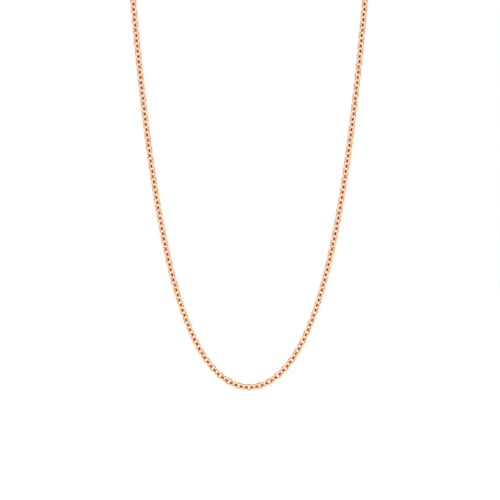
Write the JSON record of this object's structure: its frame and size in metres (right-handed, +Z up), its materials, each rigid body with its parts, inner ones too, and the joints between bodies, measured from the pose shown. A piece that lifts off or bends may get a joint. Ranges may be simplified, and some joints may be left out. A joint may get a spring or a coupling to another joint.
{
  "type": "chain necklace",
  "caption": "Rose-gold belcher chain necklace with round-wire oval links, closed at the nape by a lobster clasp and hanging in a long U.",
  "frame": {"origin": "centre of the arch where the chain lies over the neck or display bar, in the plane of the loop", "axes": "+Z up, opposite to the way the chain hangs; +Y away from the viewer, through the loop, along the axis of the neck or bar; +X to the viewer's right"},
  "size_m": [0.0804, 0.006, 0.1949],
  "materials": {
    "chain_rose_gold": "brass wire links plated with rose gold, high polish",
    "ring_rose_gold": "drawn round wire plated with rose gold, high polish",
    "clasp_rose_gold": "cast and tumbled clasp plated with rose gold, polished",
    "spring_steel": "drawn spring steel wire"
  },
  "bodies": {
    "root": {"chain_left_back_1": "chain_rose_gold", "chain_left_back_2": "chain_rose_gold", "chain_left_back_3": "chain_rose_gold", "chain_right_back_1": "chain_rose_gold", "chain_right_back_2": "chain_rose_gold", "chain_right_back_3": "chain_rose_gold"},
    "left_run_01": {"chain_left_run_01": "chain_rose_gold"},
    "right_run_01": {"chain_right_run_01": "chain_rose_gold"},
    "left_run_02": {"chain_left_run_02": "chain_rose_gold"},
    "right_run_02": {"chain_right_run_02": "chain_rose_gold"},
    "left_run_03": {"chain_left_run_03": "chain_rose_gold"},
    "right_run_03": {"chain_right_run_03": "chain_rose_gold"},
    "left_run_04": {"chain_left_run_04": "chain_rose_gold"},
    "right_run_04": {"chain_right_run_04": "chain_rose_gold"},
    "left_run_05": {"chain_left_run_05": "chain_rose_gold"},
    "right_run_05": {"chain_right_run_05": "chain_rose_gold"},
    "left_run_06": {"chain_left_run_06": "chain_rose_gold"},
    "right_run_06": {"chain_right_run_06": "chain_rose_gold"},
    "left_run_07": {"chain_left_run_07": "chain_rose_gold"},
    "right_run_07": {"chain_right_run_07": "chain_rose_gold"},
    "left_run_08": {"chain_left_run_08": "chain_rose_gold"},
    "right_run_08": {"chain_right_run_08": "chain_rose_gold"},
    "left_run_09": {"chain_left_run_09": "chain_rose_gold"},
    "right_run_09": {"chain_right_run_09": "chain_rose_gold"},
    "left_run_10": {"chain_left_run_10": "chain_rose_gold"},
    "right_run_10": {"chain_right_run_10": "chain_rose_gold"},
    "left_run_11": {"chain_left_run_11": "chain_rose_gold"},
    "right_run_11": {"chain_right_run_11": "chain_rose_gold"},
    "left_run_12": {"chain_left_run_12": "chain_rose_gold"},
    "right_run_12": {"chain_right_run_12": "chain_rose_gold"},
    "left_run_13": {"chain_left_run_13": "chain_rose_gold"},
    "right_run_13": {"chain_right_run_13": "chain_rose_gold"},
    "front_arc": {"chain_front_arc": "chain_rose_gold"},
    "left_jump_ring": {"left_jump_ring": "ring_rose_gold"},
    "clasp": {"clasp_body": "clasp_rose_gold", "clasp_rivet": "clasp_rose_gold"},
    "end_ring": {"end_ring": "ring_rose_gold"},
    "right_jump_ring": {"right_jump_ring": "ring_rose_gold"},
    "clasp_lever": {"clasp_lever": "clasp_rose_gold", "clasp_spring": "spring_steel"}
  },
  "joints": [
    {"name": "left_fold_01", "type": "hinge", "parent": "root", "child": "left_run_01", "pos_m": [-0.03908, 0, -0.00291], "axis": [1, 0, 0], "range_deg": [-22, 22]},
    {"name": "right_fold_01", "type": "hinge", "parent": "root", "child": "right_run_01", "pos_m": [0.03908, 0, -0.00291], "axis": [1, 0, 0], "range_deg": [-22, 22]},
    {"name": "left_fold_02", "type": "hinge", "parent": "left_run_01", "child": "left_run_02", "pos_m": [-0.03819, 0, -0.01464], "axis": [-1, 0, 0], "range_deg": [-22, 22]},
    {"name": "right_fold_02", "type": "hinge", "parent": "right_run_01", "child": "right_run_02", "pos_m": [0.03819, 0, -0.01464], "axis": [-1, 0, 0], "range_deg": [-22, 22]},
    {"name": "left_fold_03", "type": "hinge", "parent": "left_run_02", "child": "left_run_03", "pos_m": [-0.03721, 0, -0.02636], "axis": [1, 0, 0], "range_deg": [-22, 22]},
    {"name": "right_fold_03", "type": "hinge", "parent": "right_run_02", "child": "right_run_03", "pos_m": [0.03721, 0, -0.02636], "axis": [1, 0, 0], "range_deg": [-22, 22]},
    {"name": "left_fold_04", "type": "hinge", "parent": "left_run_03", "child": "left_run_04", "pos_m": [-0.03615, 0, -0.03807], "axis": [-1, 0, 0], "range_deg": [-22, 22]},
    {"name": "right_fold_04", "type": "hinge", "parent": "right_run_03", "child": "right_run_04", "pos_m": [0.03615, 0, -0.03807], "axis": [-1, 0, 0], "range_deg": [-22, 22]},
    {"name": "left_fold_05", "type": "hinge", "parent": "left_run_04", "child": "left_run_05", "pos_m": [-0.03499, 0, -0.04977], "axis": [1, 0, 0], "range_deg": [-22, 22]},
    {"name": "right_fold_05", "type": "hinge", "parent": "right_run_04", "child": "right_run_05", "pos_m": [0.03499, 0, -0.04977], "axis": [1, 0, 0], "range_deg": [-22, 22]},
    {"name": "left_fold_06", "type": "hinge", "parent": "left_run_05", "child": "left_run_06", "pos_m": [-0.0337, 0, -0.06146], "axis": [-1, 0, 0], "range_deg": [-22, 22]},
    {"name": "right_fold_06", "type": "hinge", "parent": "right_run_05", "child": "right_run_06", "pos_m": [0.0337, 0, -0.06146], "axis": [-1, 0, 0], "range_deg": [-22, 22]},
    {"name": "left_fold_07", "type": "hinge", "parent": "left_run_06", "child": "left_run_07", "pos_m": [-0.03226, 0, -0.07313], "axis": [1, 0, 0], "range_deg": [-22, 22]},
    {"name": "right_fold_07", "type": "hinge", "parent": "right_run_06", "child": "right_run_07", "pos_m": [0.03226, 0, -0.07313], "axis": [1, 0, 0], "range_deg": [-22, 22]},
    {"name": "left_fold_08", "type": "hinge", "parent": "left_run_07", "child": "left_run_08", "pos_m": [-0.03061, 0, -0.08478], "axis": [-1, 0, 0], "range_deg": [-22, 22]},
    {"name": "right_fold_08", "type": "hinge", "parent": "right_run_07", "child": "right_run_08", "pos_m": [0.03061, 0, -0.08478], "axis": [-1, 0, 0], "range_deg": [-22, 22]},
    {"name": "left_fold_09", "type": "hinge", "parent": "left_run_08", "child": "left_run_09", "pos_m": [-0.02871, 0, -0.09638], "axis": [1, 0, 0], "range_deg": [-22, 22]},
    {"name": "right_fold_09", "type": "hinge", "parent": "right_run_08", "child": "right_run_09", "pos_m": [0.02871, 0, -0.09638], "axis": [1, 0, 0], "range_deg": [-22, 22]},
    {"name": "left_fold_10", "type": "hinge", "parent": "left_run_09", "child": "left_run_10", "pos_m": [-0.02644, 0, -0.10792], "axis": [-1, 0, 0], "range_deg": [-22, 22]},
    {"name": "right_fold_10", "type": "hinge", "parent": "right_run_09", "child": "right_run_10", "pos_m": [0.02644, 0, -0.10792], "axis": [-1, 0, 0], "range_deg": [-22, 22]},
    {"name": "left_fold_11", "type": "hinge", "parent": "left_run_10", "child": "left_run_11", "pos_m": [-0.02365, 0, -0.11934], "axis": [1, 0, 0], "range_deg": [-22, 22]},
    {"name": "right_fold_11", "type": "hinge", "parent": "right_run_10", "child": "right_run_11", "pos_m": [0.02365, 0, -0.11934], "axis": [1, 0, 0], "range_deg": [-22, 22]},
    {"name": "left_fold_12", "type": "hinge", "parent": "left_run_11", "child": "left_run_12", "pos_m": [-0.02004, 0, -0.13053], "axis": [-1, 0, 0], "range_deg": [-22, 22]},
    {"name": "right_fold_12", "type": "hinge", "parent": "right_run_11", "child": "right_run_12", "pos_m": [0.02004, 0, -0.13053], "axis": [-1, 0, 0], "range_deg": [-22, 22]},
    {"name": "left_fold_13", "type": "hinge", "parent": "left_run_12", "child": "left_run_13", "pos_m": [-0.01499, 0, -0.14113], "axis": [1, 0, 0], "range_deg": [-22, 22]},
    {"name": "right_fold_13", "type": "hinge", "parent": "right_run_12", "child": "right_run_13", "pos_m": [0.01499, 0, -0.14113], "axis": [1, 0, 0], "range_deg": [-22, 22]},
    {"name": "front_arc_fold", "type": "hinge", "parent": "left_run_13", "child": "front_arc", "pos_m": [-0.00713, 0, -0.14975], "axis": [-1, 0, 0], "range_deg": [-22, 22]},
    {"name": "left_jump_ring_roll", "type": "hinge", "parent": "root", "child": "left_jump_ring", "pos_m": [-0.00758, 0, 0.03843], "axis": [0.9811, 0, 0.1935], "range_deg": [-12, 12]},
    {"name": "clasp_roll", "type": "hinge", "parent": "root", "child": "clasp", "pos_m": [-0.00214, 0, 0.03892], "axis": [0.9985, 0, 0.0549], "range_deg": [-12, 12]},
    {"name": "end_ring_roll", "type": "hinge", "parent": "root", "child": "end_ring", "pos_m": [0.00407, 0, 0.03892], "axis": [0.9946, 0, -0.104], "range_deg": [-15, 15]},
    {"name": "right_jump_ring_roll", "type": "hinge", "parent": "root", "child": "right_jump_ring", "pos_m": [0.00758, 0, 0.03843], "axis": [0.9811, 0, -0.1935], "range_deg": [-15, 15]},
    {"name": "clasp_lever_pivot", "type": "hinge", "parent": "clasp", "child": "clasp_lever", "pos_m": [-0.00291, -0.00135, 0.03888], "axis": [-0.0549, 0, 0.9985], "range_deg": [0, 30], "stiffness_Nm_per_rad": 0.002, "springref_deg": -17.19}
  ],
  "couplings": [
    {"joint": "right_fold_01", "follows": "left_fold_01", "ratio": 1},
    {"joint": "right_fold_02", "follows": "left_fold_02", "ratio": 1},
    {"joint": "right_fold_03", "follows": "left_fold_03", "ratio": 1},
    {"joint": "right_fold_04", "follows": "left_fold_04", "ratio": 1},
    {"joint": "right_fold_05", "follows": "left_fold_05", "ratio": 1},
    {"joint": "right_fold_06", "follows": "left_fold_06", "ratio": 1},
    {"joint": "right_fold_07", "follows": "left_fold_07", "ratio": 1},
    {"joint": "right_fold_08", "follows": "left_fold_08", "ratio": 1},
    {"joint": "right_fold_09", "follows": "left_fold_09", "ratio": 1},
    {"joint": "right_fold_10", "follows": "left_fold_10", "ratio": 1},
    {"joint": "right_fold_11", "follows": "left_fold_11", "ratio": 1},
    {"joint": "right_fold_12", "follows": "left_fold_12", "ratio": 1},
    {"joint": "right_fold_13", "follows": "left_fold_13", "ratio": 1}
  ]
}
